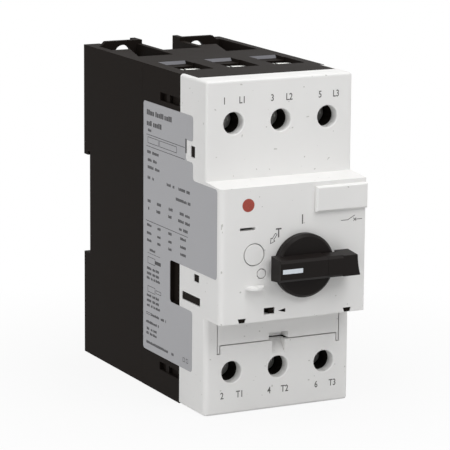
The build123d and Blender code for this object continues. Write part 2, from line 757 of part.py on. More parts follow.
# Terminal screws and box clamps, one of each to a wire
clamp_inner = clamp_half - clamp_wall
for side in sides:
    screw_z = screw_inset if side == "load" else height - screw_inset
    for number, x in enumerate(pole_x, start=1):
        with BuildPart() as terminal_screw:
            rod(x, screw_z, (screw_head_depth, screw_head_back), screw_head_radius)
            rod(x, screw_z, (screw_head_back, screw_tip_depth), screw_radius)
            slab(around(x, 0.45), (screw_head_depth - 1, screw_head_depth + 1.6),
                 around(screw_z, 2.3), Mode.SUBTRACT)
            slab(around(x, 2.3), (screw_head_depth - 1, screw_head_depth + 1.6),
                 around(screw_z, 0.45), Mode.SUBTRACT)
        terminal_screw.part.label = f"{side}_screw_{number}"
        export_step(terminal_screw.part, f"parts/{side}_screw_{number}.step")

        with BuildPart() as terminal_clamp:
            slab(around(x, clamp_half), (clamp_front, clamp_back),
                 from_end(side, clamp_low_top_gap, clamp_foot_gap))
            slab(around(x, clamp_half), (clamp_tall_front, clamp_back),
                 from_end(side, clamp_top_gap, clamp_foot_gap))
            slab(around(x, clamp_inner),
                 (clamp_front + clamp_front_wall, clamp_back - clamp_back_wall),
                 (-1, height + 1), Mode.SUBTRACT)
            slab(around(x, clamp_seam / 2), (clamp_back - 2 * clamp_back_wall, clamp_back + 1),
                 (-1, height + 1), Mode.SUBTRACT)
            rod(x, screw_z, (clamp_front - 1, clamp_front + clamp_front_wall + 1),
                screw_radius + thread_play, Mode.SUBTRACT)
        terminal_clamp.part.label = f"{side}_clamp_{number}"
        export_step(terminal_clamp.part, f"parts/{side}_clamp_{number}.step")

# Strips: terminal plate, run to the rear base and, on the line side, the fixed contact
fixed_inner = tip_offset - 4.1
with BuildPart() as line_conductors:
    for x in pole_x:
        slab(around(x, strip_half), (plate_front, plate_front + strip),
             from_end("line", terminal_top_gap, run_gap))
        slab(around(x, strip_half), (plate_front, fixed_strip_back),
             from_end("line", run_gap - strip, run_gap))
        slab(around(x, strip_half), (fixed_strip_front, fixed_strip_back),
             (middle_z + fixed_inner, height - run_gap + strip))
line_conductors.part.label = "line_conductors"
export_step(line_conductors.part, "parts/line_conductors.step")

heater_front = bimetal_front - heater_wall - 0.2
heater_back = bimetal_front + bimetal + heater_wall + 0.2
with BuildPart() as load_conductors:
    for x in pole_x:
        slab(around(x, strip_half), (plate_front, plate_front + strip),
             from_end("load", terminal_top_gap, run_gap))
        slab(around(x, strip_half), (plate_front, heater_front),
             from_end("load", run_gap - strip, run_gap))
        slab(around(x, strip_half), (heater_front - strip, heater_front),
             (run_gap - strip, heater_bottom + 1.5))
load_conductors.part.label = "load_conductors"
export_step(load_conductors.part, "parts/load_conductors.step")

# Lower fixed contacts with the tab that feeds each coil
coil_tab_top = middle_z - winding_radius - winding_play
coil_front = yoke_front + strip + winding_play
with BuildPart() as fixed_contacts:
    for x in pole_x:
        slab(around(x, strip_half), (fixed_strip_front, fixed_strip_back),
             (middle_z - tip_offset - 2.4, middle_z - fixed_inner))
        slab(around(x, 2.0), (fixed_strip_front, coil_front + 3.0),
             (middle_z - tip_offset - 2.4, middle_z - tip_offset - 2.4 + strip))
        slab(around(x, 2.0), (coil_front + 1.5, coil_front + 3.0),
             (middle_z - tip_offset - 2.4, coil_tab_top))
fixed_contacts.part.label = "fixed_contacts"
export_step(fixed_contacts.part, "parts/fixed_contacts.step")

# Silver tips on the fixed and on the moving contacts
with BuildPart() as fixed_tips:
    for x in pole_x:
        for z in around(middle_z, tip_offset):
            rod(x, z, (fixed_tip_front, fixed_strip_front), tip_radius)
fixed_tips.part.label = "fixed_tips"
export_step(fixed_tips.part, "parts/fixed_tips.step")

with BuildPart() as moving_tips:
    for x in pole_x:
        for z in around(middle_z, tip_offset):
            rod(x, z, (bridge_depth + bridge, moving_tip_back), tip_radius)
moving_tips.part.label = "moving_tips"
export_step(moving_tips.part, "parts/moving_tips.step")

# Moving contact bridges, each held in a cage of the carrier
with BuildPart() as contact_bridges:
    for x in pole_x:
        slab(around(x, bridge_half), (bridge_depth, bridge_depth + bridge),
             around(middle_z, bridge_half_length))
contact_bridges.part.label = "contact_bridges"
export_step(contact_bridges.part, "parts/contact_bridges.step")

# Contact carrier: bar across the poles, three cages and the cam follower
cheek_inner = bridge_half + cheek_play
carrier_half = cavity_half - 1.0
follower_z = handle_z + follower_arm
follower_centre = (cam_middle - contact_travel / 2
                   + (follower_radius + follower_play) * math.sqrt(1 + cam_slope ** 2))
with BuildPart() as contact_carrier:
    slab(around(0, carrier_half), (bar_front, bar_back), around(middle_z, bar_half_height))
    for x in pole_x:
        for cheek_x in (x - cheek_inner - cheek / 2, x + cheek_inner + cheek / 2):
            slab(around(cheek_x, cheek / 2), (bar_back, bridge_depth + bridge + retainer),
                 around(middle_z, bar_half_height - 0.4))
        slab(around(x, cheek_inner + cheek),
             (bridge_depth + bridge, bridge_depth + bridge + retainer),
             around(middle_z, bar_half_height - 0.4))
        rod(x, middle_z, (bridge_depth, bridge_depth + bridge + retainer + 1),
            striker_radius + 2 * striker_play, Mode.SUBTRACT)
        rod(x, middle_z, (bar_back, bar_back + 2.5), 1.2)
    for x in web_x:
        rod(x, middle_z, (bar_back, bar_back + 2.5), 1.0)
    slab(around(handle_x, follower_radius), (bar_front, bar_back),
         sorted((middle_z, follower_z)))
    rod(handle_x, follower_z, (follower_centre, bar_front), follower_radius)
    with Locations((handle_x, deep(follower_centre), follower_z)):
        Sphere(follower_radius)
contact_carrier.part.label = "contact_carrier"
export_step(contact_carrier.part, "parts/contact_carrier.step")

# Contact springs behind the bridges and opening springs beside them
with BuildPart() as contact_springs:
    for x in pole_x:
        rod(x, middle_z, (bar_back, bridge_depth), 2.2)
        rod(x, middle_z, (bar_back, bridge_depth), 1.6, Mode.SUBTRACT)
contact_springs.part.label = "contact_springs"
export_step(contact_springs.part, "parts/contact_springs.step")

opening_spring_end = bridge_depth - 0.6
with BuildPart() as opening_springs:
    for x in web_x:
        rod(x, middle_z, (bar_back, opening_spring_end), 2.0)
        rod(x, middle_z, (bar_back, opening_spring_end), 1.4, Mode.SUBTRACT)
opening_springs.part.label = "opening_springs"
export_step(opening_springs.part, "parts/opening_springs.step")

# Arc chutes above and below the contacts, their plates held between two cheeks
with BuildPart() as arc_stacks:
    for x in pole_x:
        for arc_z, mouth_z in zip(arc_spans, around(middle_z, arc_inner)[::-1]):
            for step in range(arc_plates):
                front = arc_front + step * arc_pitch
                slab(around(x, arc_half), (front, front + arc_plate), arc_z)
                slab(around(x, 1.6), (front, front + arc_plate), around(mouth_z, 3.0),
                     Mode.SUBTRACT)
arc_stacks.part.label = "arc_plates"
export_step(arc_stacks.part, "parts/arc_plates.step")

with BuildPart() as arc_cheeks:
    for x in pole_x:
        for cheek_x in around(x, arc_half + arc_cheek / 2):
            for arc_z in arc_spans:
                slab(around(cheek_x, arc_cheek / 2), (arc_front, arc_back), arc_z)
arc_cheeks.part.label = "arc_cheeks"
export_step(arc_cheeks.part, "parts/arc_cheeks.step")

# Magnetic release of each pole: yoke, bobbin, winding, core and striker plunger
bobbin_front = yoke_front + strip
bobbin_back = yoke_back - strip
with BuildPart() as magnet_yokes:
    for x in pole_x:
        slab(around(x, yoke_half), (yoke_front, yoke_back),
             around(middle_z, yoke_half_height))
        slab(around(x, yoke_half + 1), (bobbin_front, bobbin_back),
             (0, middle_z + yoke_half_height - strip / 2), Mode.SUBTRACT)
        rod(x, middle_z, (yoke_front - 1, bobbin_front), striker_radius + striker_play,
            Mode.SUBTRACT)
magnet_yokes.part.label = "magnet_yokes"
export_step(magnet_yokes.part, "parts/magnet_yokes.step")

with BuildPart() as bobbins:
    for x in pole_x:
        rod(x, middle_z, (bobbin_front, bobbin_back), bobbin_tube)
        rod(x, middle_z, (bobbin_front, bobbin_front + bobbin_flange), winding_radius)
        rod(x, middle_z, (bobbin_back - bobbin_flange, bobbin_back), winding_radius)
        rod(x, middle_z, (bobbin_front - 1, bobbin_back + 1), bobbin_bore, Mode.SUBTRACT)
bobbins.part.label = "bobbins"
export_step(bobbins.part, "parts/bobbins.step")

winding_span = (bobbin_front + bobbin_flange, bobbin_back - bobbin_flange)
with BuildPart() as windings:
    for x in pole_x:
        rod(x, middle_z, winding_span, winding_radius)
        rod(x, middle_z, winding_span, bobbin_tube + winding_play, Mode.SUBTRACT)
windings.part.label = "windings"
export_step(windings.part, "parts/windings.step")

core_back = bobbin_front + core_length
with BuildPart() as magnet_cores:
    for x in pole_x:
        rod(x, middle_z, (bobbin_front, core_back), core_radius)
        rod(x, middle_z, (core_back - core_cup_depth, core_back + 1), core_cup_radius,
            Mode.SUBTRACT)
        rod(x, middle_z, (bobbin_front - 1, core_back), striker_radius + striker_play,
            Mode.SUBTRACT)
magnet_cores.part.label = "magnet_cores"
export_step(magnet_cores.part, "parts/magnet_cores.step")

plunger_front = core_back + plunger_gap
for number, x in enumerate(pole_x, start=1):
    with BuildPart() as plunger:
        rod(x, middle_z, (plunger_front, plunger_front + plunger_length), plunger_radius)
        rod(x, middle_z, (striker_tip, plunger_front), striker_radius)
    plunger.part.label = f"plunger_{number}"
    export_step(plunger.part, f"parts/plunger_{number}.step")

    with BuildPart() as plunger_spring:
        rod(x, middle_z, (core_back, plunger_front), core_cup_radius - striker_play)
        rod(x, middle_z, (core_back, plunger_front), striker_radius + striker_play,
            Mode.SUBTRACT)
    plunger_spring.part.label = f"plunger_spring_{number}"
    export_step(plunger_spring.part, f"parts/plunger_spring_{number}.step")

# Bimetal strips with their heaters, fed from the coils by a strip under the arc chutes
with BuildPart() as bimetals:
    for x in pole_x:
        slab(around(x, bimetal_half), (bimetal_front, bimetal_front + bimetal),
             (link_bottom + strip, bimetal_top))
bimetals.part.label = "bimetals"
export_step(bimetals.part, "parts/bimetals.step")

with BuildPart() as heaters:
    for x in pole_x:
        slab(around(x, heater_half), (heater_front, heater_back), (heater_bottom, heater_top))
        slab(around(x, bimetal_half + 0.2), (bimetal_front - 0.2, bimetal_front + bimetal + 0.2),
             (heater_bottom, heater_top), Mode.SUBTRACT)
heaters.part.label = "heaters"
export_step(heaters.part, "parts/heaters.step")

link_back = yoke_back - 2.6
with BuildPart() as coil_links:
    for x in pole_x:
        slab(around(x, 2.0), (bimetal_front - 0.3, link_back), (link_bottom, link_bottom + strip))
        slab(around(x, 2.0), (link_back - strip, link_back), (link_bottom, coil_tab_top))
coil_links.part.label = "coil_links"
export_step(coil_links.part, "parts/coil_links.step")

# Trip bar across the poles with an arm to each bimetal and one to the test slider
test_x = (test_slot[0] + test_slot[1]) / 2
with BuildPart() as trip_bar:
    cross_rod(around(0, cavity_half + 0.8), trip_depth, trip_z, trip_radius)
    for x in pole_x:
        slab(around(x, trip_arm_half), (trip_depth - 0.9, trip_depth + 0.5),
             (trip_z - trip_arm, trip_z))
    slab(around(test_x, 1.5), (trip_depth - trip_front_arm, trip_depth),
         around(trip_z, 0.8))
trip_bar.part.label = "trip_bar"
export_step(trip_bar.part, "parts/trip_bar.step")

# Test slider behind its slot, with the arm that reaches back to the trip bar
slider_front = block_face + cover_wall + test_play
slider_back = slider_front + test_plate
nub_left = test_slot[1] - test_play - 1.9
slider_z = (block_bottom + cover_rim + test_play, block_bottom + cover_rim + 3.6)
arm_front = trip_depth - trip_front_arm - 4.0
arm_back = trip_depth - trip_front_arm - 0.8
with BuildPart() as test_slider:
    slab((test_left, test_right), (slider_front, slider_back), slider_z)
    slab((nub_left, test_slot[1] - test_play), (block_face + 0.6, slider_front),
         (test_slot_z[0] + test_play, test_slot_z[1] - test_play))
    slab(around(test_x, 1.2), (slider_front, arm_back), (slider_z[0], slider_z[0] + 2.0))
    slab(around(test_x, 1.2), (arm_front, arm_back), (slider_z[0], trip_z + 1.2))
test_slider.part.label = "test_slider"
export_step(test_slider.part, "parts/test_slider.step")

with BuildPart() as test_spring:
    spring_z = (slider_z[0] + slider_z[1]) / 2
    spring_depth = slider_front + test_plate
    cross_rod((spring_left, test_left), spring_depth, spring_z, 1.2)
    cross_rod((spring_left, test_left), spring_depth, spring_z, 0.8, Mode.SUBTRACT)
test_spring.part.label = "test_spring"
export_step(test_spring.part, "parts/test_spring.step")

# Mechanism frame around the cam, with the pin and lever of the latch
frame_x = around(handle_x, frame_half)
frame_z = (handle_z - frame_low, handle_z + frame_high)
with BuildPart() as mechanism_frame:
    slab(frame_x, (frame_front, frame_back), frame_z)
    slab(around(handle_x, frame_half - frame_wall),
         (frame_front + frame_wall, frame_back - frame_wall), (0, height), Mode.SUBTRACT)
    rod(handle_x, handle_z, (frame_front - 1, frame_back + 1), shaft_radius + shaft_play,
        Mode.SUBTRACT)
    rod(handle_x, follower_z, (frame_back - frame_wall - 1, frame_back + 1),
        follower_radius + 0.4, Mode.SUBTRACT)
    cross_rod(around(handle_x, frame_half + 1), lever_depth, lever_z, pin_radius,
              Mode.SUBTRACT)
    slab(around(handle_x + 1.0, lever_half + 0.5), (frame_back - frame_wall - 1, frame_back + 1),
         (frame_z[0] - 1, lever_z + 4), Mode.SUBTRACT)
    # feet that reach the walls of the housing
    slab(around(0, mechanism_half), (frame_back - frame_wall, frame_back),
         (frame_z[1] - 6, frame_z[1]))
mechanism_frame.part.label = "mechanism_frame"
export_step(mechanism_frame.part, "parts/mechanism_frame.step")

with BuildPart() as lever_pin:
    cross_rod(around(handle_x, frame_half), lever_depth, lever_z, pin_radius)
lever_pin.part.label = "lever_pin"
export_step(lever_pin.part, "parts/lever_pin.step")

lever_x = around(handle_x + 1.0, lever_half)
with BuildPart() as latch_lever:
    cross_rod(lever_x, lever_depth, lever_z, lever_hub)
    slab(lever_x, (lever_front, lever_back), around(lever_z, lever_height / 2))
    slab(lever_x, (lever_front, lever_front + 2.0),
         (lever_z, handle_z - cam_radius - 0.4))
    cross_rod(around(handle_x, frame_half), lever_depth, lever_z, pin_radius + pin_play,
              Mode.SUBTRACT)
latch_lever.part.label = "latch_lever"
export_step(latch_lever.part, "parts/latch_lever.step")

# Handle shaft with its cam and retaining clip
with BuildPart() as handle_shaft:
    rod(handle_x, handle_z, (block_face - 1.0, shaft_end), shaft_radius)
    for sign in (-1, 1):
        slab(around(handle_x + sign * (shaft_radius + 1.0), 1.6),
             (block_face - 2, block_face + hub_length), around(handle_z, shaft_radius),
             Mode.SUBTRACT)
handle_shaft.part.label = "handle_shaft"
export_step(handle_shaft.part, "parts/handle_shaft.step")

swash_reach = 2 * cam_radius
with BuildPart() as switch_cam:
    rod(handle_x, handle_z, (cam_front, cam_middle + cam_radius), cam_radius)
    # the rear face slopes: deepest towards the lower left when the handle is off
    with BuildSketch(Plane(origin=(handle_x, deep(cam_middle), handle_z),
                           x_dir=(-1, 0, -1), z_dir=(1, 0, -1))) as swash:
        with BuildLine():
            Polyline((-swash_reach, -swash_reach * cam_slope),
                     (swash_reach, swash_reach * cam_slope),
                     (swash_reach, swash_reach), (-swash_reach, swash_reach), close=True)
        make_face()
    extrude(swash.sketch, amount=swash_reach, both=True, mode=Mode.SUBTRACT)
    rod(handle_x, handle_z, (cam_front - 1, cam_middle + cam_radius + 1),
        shaft_radius + shaft_fit, Mode.SUBTRACT)
switch_cam.part.label = "switch_cam"
export_step(switch_cam.part, "parts/switch_cam.step")

with BuildPart() as shaft_clip:
    rod(handle_x, handle_z, (frame_back + 0.2, frame_back + 0.2 + clip_wall), clip_radius)
    rod(handle_x, handle_z, (frame_back, frame_back + 2), shaft_radius + shaft_fit,
        Mode.SUBTRACT)
    slab(around(handle_x, 1.2), (frame_back, frame_back + 2),
         (handle_z - clip_radius - 1, handle_z), Mode.SUBTRACT)
shaft_clip.part.label = "shaft_clip"
export_step(shaft_clip.part, "parts/shaft_clip.step")

# Knob: bevelled disc, tapered grip bar and hub; its outer end is the padlock slide
grip_taper = math.degrees(math.atan((grip_width - grip_top_width) / 2
                                    / (disc_front - knob_front)))
tongue_z = around(handle_z, tongue_width / 2)
tongue_depth = (disc_front - 1.2 - tongue_height, disc_front - 1.2)


def grip_bar(x_span, back):
    """Part of the grip bar, tapered towards its front face."""
    x_low, x_high = x_span
    rise = back - knob_front
    base = grip_top_width + 2 * rise * math.tan(math.radians(grip_taper))
    with BuildSketch(side_plane(x_low)) as section:
        with BuildLine():
            Polyline((back, handle_z - base / 2), (back, handle_z + base / 2),
                     (knob_front, grip_z[1]), (knob_front, grip_z[0]), close=True)
        make_face()
    extrude(section.sketch, amount=x_high - x_low)


with BuildPart() as knob:
    rod(handle_x, handle_z, (disc_front, knob_back), knob_radius)
    chamfer(knob.edges().filter_by(GeomType.CIRCLE).group_by(Axis.Y)[0], knob_bevel)
    grip_bar((grip_left, lock_seam), disc_front)
    grip_bar((grip_left, handle_x - knob_radius + 1), disc_front + grip_overhang)
    chamfer(knob.edges().group_by(Axis.Y)[0].filter_by(Axis.X), grip_bevel)
    rod(handle_x, handle_z, (knob_back, block_face + hub_length), hub_radius)
    # blind hole for the shaft, groove for the tongue and seat of the index
    rod(handle_x, handle_z, (block_face - 1.0, block_face + hub_length + 1),
        shaft_radius + shaft_fit, Mode.SUBTRACT)
    slab((lock_seam - tongue_length - 2 * tongue_play, lock_seam + 1),
         (tongue_depth[0] - tongue_play, tongue_depth[1] + tongue_play),
         (tongue_z[0] - tongue_play, tongue_z[1] + tongue_play), Mode.SUBTRACT)
    slab((grip_left + index_margin, grip_left + index_margin + index_length),
         (knob_front - 1, knob_front + index_inlay), around(handle_z, index_width / 2),
         Mode.SUBTRACT)
knob.part.label = "knob"
export_step(knob.part, "parts/knob.step")

with BuildPart() as knob_index:
    slab((grip_left + index_margin, grip_left + index_margin + index_length),
         (knob_front, knob_front + index_inlay), around(handle_z, index_width / 2))
knob_index.part.label = "knob_index"
export_step(knob_index.part, "parts/knob_index.step")

with BuildPart() as padlock_slide:
    grip_bar((lock_seam, grip_right + grip_flare), disc_front - tongue_play)
    chamfer(padlock_slide.edges().group_by(Axis.Y)[0].filter_by(Axis.X), grip_bevel)
    grip_bar((handle_x + knob_radius + 0.3, grip_right + grip_flare), disc_front + grip_overhang)
    # hollow end face that runs out to the lower corner
    with BuildSketch(front_plane(knob_front - 1)) as flare:
        with BuildLine():
            ThreePointArc((grip_right, handle_z + grip_width), (grip_right, handle_z),
                          (grip_right + 2 * grip_flare, handle_z - grip_width))
            Polyline((grip_right + 2 * grip_flare, handle_z - grip_width),
                     (grip_right + 5, handle_z - grip_width),
                     (grip_right + 5, handle_z + grip_width), (grip_right, handle_z + grip_width))
        make_face()
    extrude(flare.sketch, amount=-(disc_front + grip_overhang - knob_front + 2),
            mode=Mode.SUBTRACT)
    slab((lock_seam - tongue_length, lock_seam), tongue_depth, tongue_z)
padlock_slide.part.label = "padlock_slide"
export_step(padlock_slide.part, "parts/padlock_slide.step")
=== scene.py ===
import json
import math
import random

import bmesh
import bpy
from mathutils import Matrix, Vector


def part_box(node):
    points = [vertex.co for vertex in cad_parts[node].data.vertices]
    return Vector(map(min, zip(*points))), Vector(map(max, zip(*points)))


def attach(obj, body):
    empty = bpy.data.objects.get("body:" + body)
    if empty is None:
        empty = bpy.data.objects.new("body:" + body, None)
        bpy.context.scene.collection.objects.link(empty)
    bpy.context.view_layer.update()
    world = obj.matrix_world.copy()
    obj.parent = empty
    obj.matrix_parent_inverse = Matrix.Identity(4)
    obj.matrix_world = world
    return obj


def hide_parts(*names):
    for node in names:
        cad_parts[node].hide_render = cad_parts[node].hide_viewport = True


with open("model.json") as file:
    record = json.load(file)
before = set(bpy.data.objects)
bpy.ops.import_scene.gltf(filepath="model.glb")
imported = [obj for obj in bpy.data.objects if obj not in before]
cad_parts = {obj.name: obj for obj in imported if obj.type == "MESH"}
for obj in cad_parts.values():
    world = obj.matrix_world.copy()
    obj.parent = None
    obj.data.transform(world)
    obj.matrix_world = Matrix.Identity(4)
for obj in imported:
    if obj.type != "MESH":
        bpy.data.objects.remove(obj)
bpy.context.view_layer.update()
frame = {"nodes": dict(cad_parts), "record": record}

mm = 0.001
scene = bpy.context.scene
random.seed(7)


def low(node):
    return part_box(node)[0]


def middle(node):
    a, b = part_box(node)
    return (a + b) / 2


coverLow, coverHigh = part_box("front_cover")
blockFace = low("dial_cover").y             # the front plane of the operating block
topLevel = coverHigh.z
poleX = [middle("line_screw_%d" % n).x for n in (1, 2, 3)]
blockStep = 10.65 * mm                      # how far the block stands ahead of the terminals
terminalFace = blockFace + blockStep        # the plane the terminal holes open in
labelFace = low("side_label").x


def newMaterial(name):
    mat = bpy.data.materials.new(name)
    mat.use_nodes = True
    nodes, links = mat.node_tree.nodes, mat.node_tree.links
    shader = nodes["Principled BSDF"]
    place = nodes.new("ShaderNodeTexCoord")
    return mat, nodes, links, shader, place.outputs["Object"]


def noiseNode(nodes, links, vector, scale, detail=3.0, rough=0.55):
    noise = nodes.new("ShaderNodeTexNoise")
    noise.inputs["Scale"].default_value = scale
    noise.inputs["Detail"].default_value = detail
    noise.inputs["Roughness"].default_value = rough
    links.new(vector, noise.inputs["Vector"])
    return noise.outputs["Fac"]


def rampNode(nodes, links, factor, dark, light, start=0.3, end=0.7):
    ramp = nodes.new("ShaderNodeValToRGB")
    ramp.color_ramp.elements[0].position = start
    ramp.color_ramp.elements[1].position = end
    ramp.color_ramp.elements[0].color = (*dark, 1)
    ramp.color_ramp.elements[1].color = (*light, 1)
    links.new(factor, ramp.inputs["Fac"])
    return ramp.outputs["Color"]


def rangeNode(nodes, links, factor, lowest, highest):
    spread = nodes.new("ShaderNodeMapRange")
    spread.inputs["To Min"].default_value = lowest
    spread.inputs["To Max"].default_value = highest
    links.new(factor, spread.inputs["Value"])
    return spread.outputs["Result"]


def bumpNode(nodes, links, height, strength, distance):
    bump = nodes.new("ShaderNodeBump")
    bump.inputs["Strength"].default_value = strength
    bump.inputs["Distance"].default_value = distance
    links.new(height, bump.inputs["Height"])
    return bump.outputs["Normal"]


def shade(colour, factor):
    return tuple(max(0.0, min(1.0, c * factor)) for c in colour)


# dust and tiny dark inclusions: where this noise peaks, the colour drops
dustSpots = {"scale": 900, "start": 0.82, "full": 0.85}


def mouldedPlastic(name, colour, spread=0.04, roughness=(0.42, 0.52), grain=2600, bump=0.10,
                   specular=0.45, specks=1.0):
    # fine spark-eroded grain, slow colour drift from the moulding and a little wear in the gloss
    mat, nodes, links, shader, place = newMaterial(name)
    drift = noiseNode(nodes, links, place, 38, 2.0)
    fine = noiseNode(nodes, links, place, grain, 4.0, 0.6)
    colours = rampNode(nodes, links, drift, shade(colour, 1 - spread), shade(colour, 1 + spread))
    if specks < 1.0:
        peaks = noiseNode(nodes, links, place, dustSpots["scale"], 0.0)
        dust = rampNode(nodes, links, peaks, (1, 1, 1), (specks, specks, specks * 0.97),
                        dustSpots["start"], dustSpots["full"])
        soiled = nodes.new("ShaderNodeMix")
        soiled.data_type = "RGBA"
        soiled.blend_type = "MULTIPLY"
        soiled.inputs["Factor"].default_value = 1.0
        links.new(colours, soiled.inputs["A"])
        links.new(dust, soiled.inputs["B"])
        colours = soiled.outputs["Result"]
    links.new(colours, shader.inputs["Base Color"])
    links.new(rangeNode(nodes, links, drift, *roughness), shader.inputs["Roughness"])
    links.new(bumpNode(nodes, links, fine, bump, 0.00006), shader.inputs["Normal"])
    shader.inputs["Specular IOR Level"].default_value = specular
    return mat


def brushedMetal(name, colour, roughness=(0.28, 0.42), stretch=(1, 14, 14), spread=0.12):
    # plated or drawn metal: streaks along one way, cloudy plating, tiny pits
    mat, nodes, links, shader, place = newMaterial(name)
    mapping = nodes.new("ShaderNodeMapping")
    mapping.inputs["Scale"].default_value = stretch
    links.new(place, mapping.inputs["Vector"])
    streaks = noiseNode(nodes, links, mapping.outputs["Vector"], 420, 5.0, 0.65)
    clouds = noiseNode(nodes, links, place, 160, 2.0)
    colours = rampNode(nodes, links, clouds, shade(colour, 1 - spread), shade(colour, 1 + spread))
    links.new(colours, shader.inputs["Base Color"])
    links.new(rangeNode(nodes, links, streaks, *roughness), shader.inputs["Roughness"])
    links.new(bumpNode(nodes, links, streaks, 0.18, 0.00005), shader.inputs["Normal"])
    shader.inputs["Metallic"].default_value = 1.0
    return mat


def printInk(name, colour, roughness=0.6):
    # pad-printed ink with slightly uneven cover
    mat, nodes, links, shader, place = newMaterial(name)
    cover = noiseNode(nodes, links, place, 1800, 3.0)
    links.new(rampNode(nodes, links, cover, shade(colour, 0.9), shade(colour, 1.25)),
              shader.inputs["Base Color"])
    shader.inputs["Roughness"].default_value = roughness
    return mat


def labelFoil(name, colour):
    # satin foil: very fine rolling streaks and a faint sparkle
    mat, nodes, links, shader, place = newMaterial(name)
    mapping = nodes.new("ShaderNodeMapping")
    mapping.inputs["Scale"].default_value = (20, 1, 20)
    links.new(place, mapping.inputs["Vector"])
    rolled = noiseNode(nodes, links, mapping.outputs["Vector"], 300, 4.0, 0.6)
    speck = noiseNode(nodes, links, place, 5200, 2.0)
    links.new(rampNode(nodes, links, speck, shade(colour, 0.93), shade(colour, 1.07)),
              shader.inputs["Base Color"])
    links.new(rangeNode(nodes, links, rolled, 0.38, 0.5), shader.inputs["Roughness"])
    links.new(bumpNode(nodes, links, rolled, 0.08, 0.00004), shader.inputs["Normal"])
    shader.inputs["Metallic"].default_value = 0.35
    return mat


finishes = {
    "cover_plastic": mouldedPlastic("coverPlastic", (0.78, 0.775, 0.765), 0.015, (0.46, 0.56), 2400, 0.12,
                                    0.45, 0.68),
    "housing_plastic": mouldedPlastic("housingPlastic", (0.0128, 0.0100, 0.0084), 0.10, (0.5, 0.62), 1900,
                                      0.22, 0.022),
    "knob_plastic": mouldedPlastic("knobPlastic", (0.0105, 0.0085, 0.0078), 0.08, (0.34, 0.44), 2800,
                                   0.12, 0.10),
    "latch_plastic": mouldedPlastic("latchPlastic", (0.028, 0.026, 0.025), 0.08, (0.38, 0.5), 2200, 0.15),
    "index_white": mouldedPlastic("indexWhite", (0.66, 0.71, 0.76), 0.02, (0.35, 0.45), 3000, 0.05),
    "bobbin_plastic": mouldedPlastic("bobbinPlastic", (0.62, 0.55, 0.42), 0.05, (0.4, 0.5), 2200, 0.1),
    "carrier_plastic": mouldedPlastic("carrierPlastic", (0.10, 0.105, 0.115), 0.06, (0.4, 0.52), 2200, 0.12),
    "fibre_board": mouldedPlastic("fibreBoard", (0.34, 0.12, 0.06), 0.18, (0.6, 0.75), 900, 0.35),
    "label_foil": labelFoil("labelFoil", (0.37, 0.37, 0.385)),
    "plated_steel": brushedMetal("platedSteel", (0.60, 0.60, 0.58)),
    "spring_steel": brushedMetal("springSteel", (0.42, 0.42, 0.43), (0.22, 0.36)),
    "soft_iron": brushedMetal("softIron", (0.32, 0.32, 0.33), (0.35, 0.5)),
    "copper": brushedMetal("bareCopper", (0.74, 0.34, 0.19), (0.25, 0.4)),
    "silver_contact": brushedMetal("silverContact", (0.82, 0.80, 0.76), (0.3, 0.42)),
    "bimetal_alloy": brushedMetal("bimetalAlloy", (0.46, 0.42, 0.36), (0.3, 0.45)),
    "heater_wire": brushedMetal("heaterWire", (0.40, 0.33, 0.27), (0.35, 0.5)),
}
ink = printInk("greyInk", (0.085, 0.08, 0.078))
labelInk = printInk("labelInk", (0.035, 0.034, 0.036))
redTag = printInk("redTag", (0.30, 0.045, 0.028), 0.5)
# painted reflection: the grey of the sheets that stand in for the sheen on the ledges behind the wire mouths
ledgeSheenGrey = mouldedPlastic("ledgeSheenGrey", (0.15, 0.15, 0.165), 0.15, (0.4, 0.55), 1500, 0.3, 0.3)
print("materials ready:", len(finishes))

slotOf = {entry["node"]: entry["material_slot"] for entry in frame["record"]["subparts"]}
bodyOf = {node: body for body, nodes in frame["record"]["behaviour"]["bodies"].items() for node in nodes}
for node, cadObject in frame["nodes"].items():
    cadObject.data.materials.clear()
    cadObject.data.materials.append(finishes[slotOf[node]])


def smoothMesh(mesh, angle=32):
    for face in mesh.polygons:
        face.use_smooth = True
    mesh.set_sharp_from_angle(angle=math.radians(angle))


def addObject(name, bm, material, angle=32):
    mesh = bpy.data.meshes.new(name)
    bm.to_mesh(mesh)
    bm.free()
    mesh.materials.append(material)
    smoothMesh(mesh, angle)
    piece = bpy.data.objects.new(name, mesh)
    scene.collection.objects.link(piece)
    return piece


weldReach = 0.002 * mm
flatAngle = 0.6                             # degrees between faces that count as one plane


def cadCopy(node):
    # a merged copy of a node's mesh, with its flat faces made whole again
    bm = bmesh.new()
    bm.from_mesh(frame["nodes"][node].data)
    bmesh.ops.remove_doubles(bm, verts=bm.verts, dist=weldReach)
    bmesh.ops.dissolve_limit(bm, angle_limit=math.radians(flatAngle), verts=bm.verts, edges=bm.edges,
                             delimit={"NORMAL"})
    return bm


def softenEdges(bm, width, segments=2, sharper=28):
    edges = [e for e in bm.edges if e.is_manifold and e.calc_face_angle(0) > math.radians(sharper)]
    bmesh.ops.bevel(bm, geom=edges, offset=width, offset_type="OFFSET", segments=segments,
                    profile=0.5, affect="EDGES", clamp_overlap=True, material=-1)


def softened(node, width, segments=2):
    # stands in for a CAD node: the same shape with its edges broken as a mould breaks them
    bm = cadCopy(node)
    softenEdges(bm, width, segments)
    piece = addObject(node + "_finished", bm, finishes[slotOf[node]])
    finish = piece.modifiers.new("evenShading", "WEIGHTED_NORMAL")
    finish.keep_sharp = True
    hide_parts(node)
    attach(piece, bodyOf[node])
    return piece


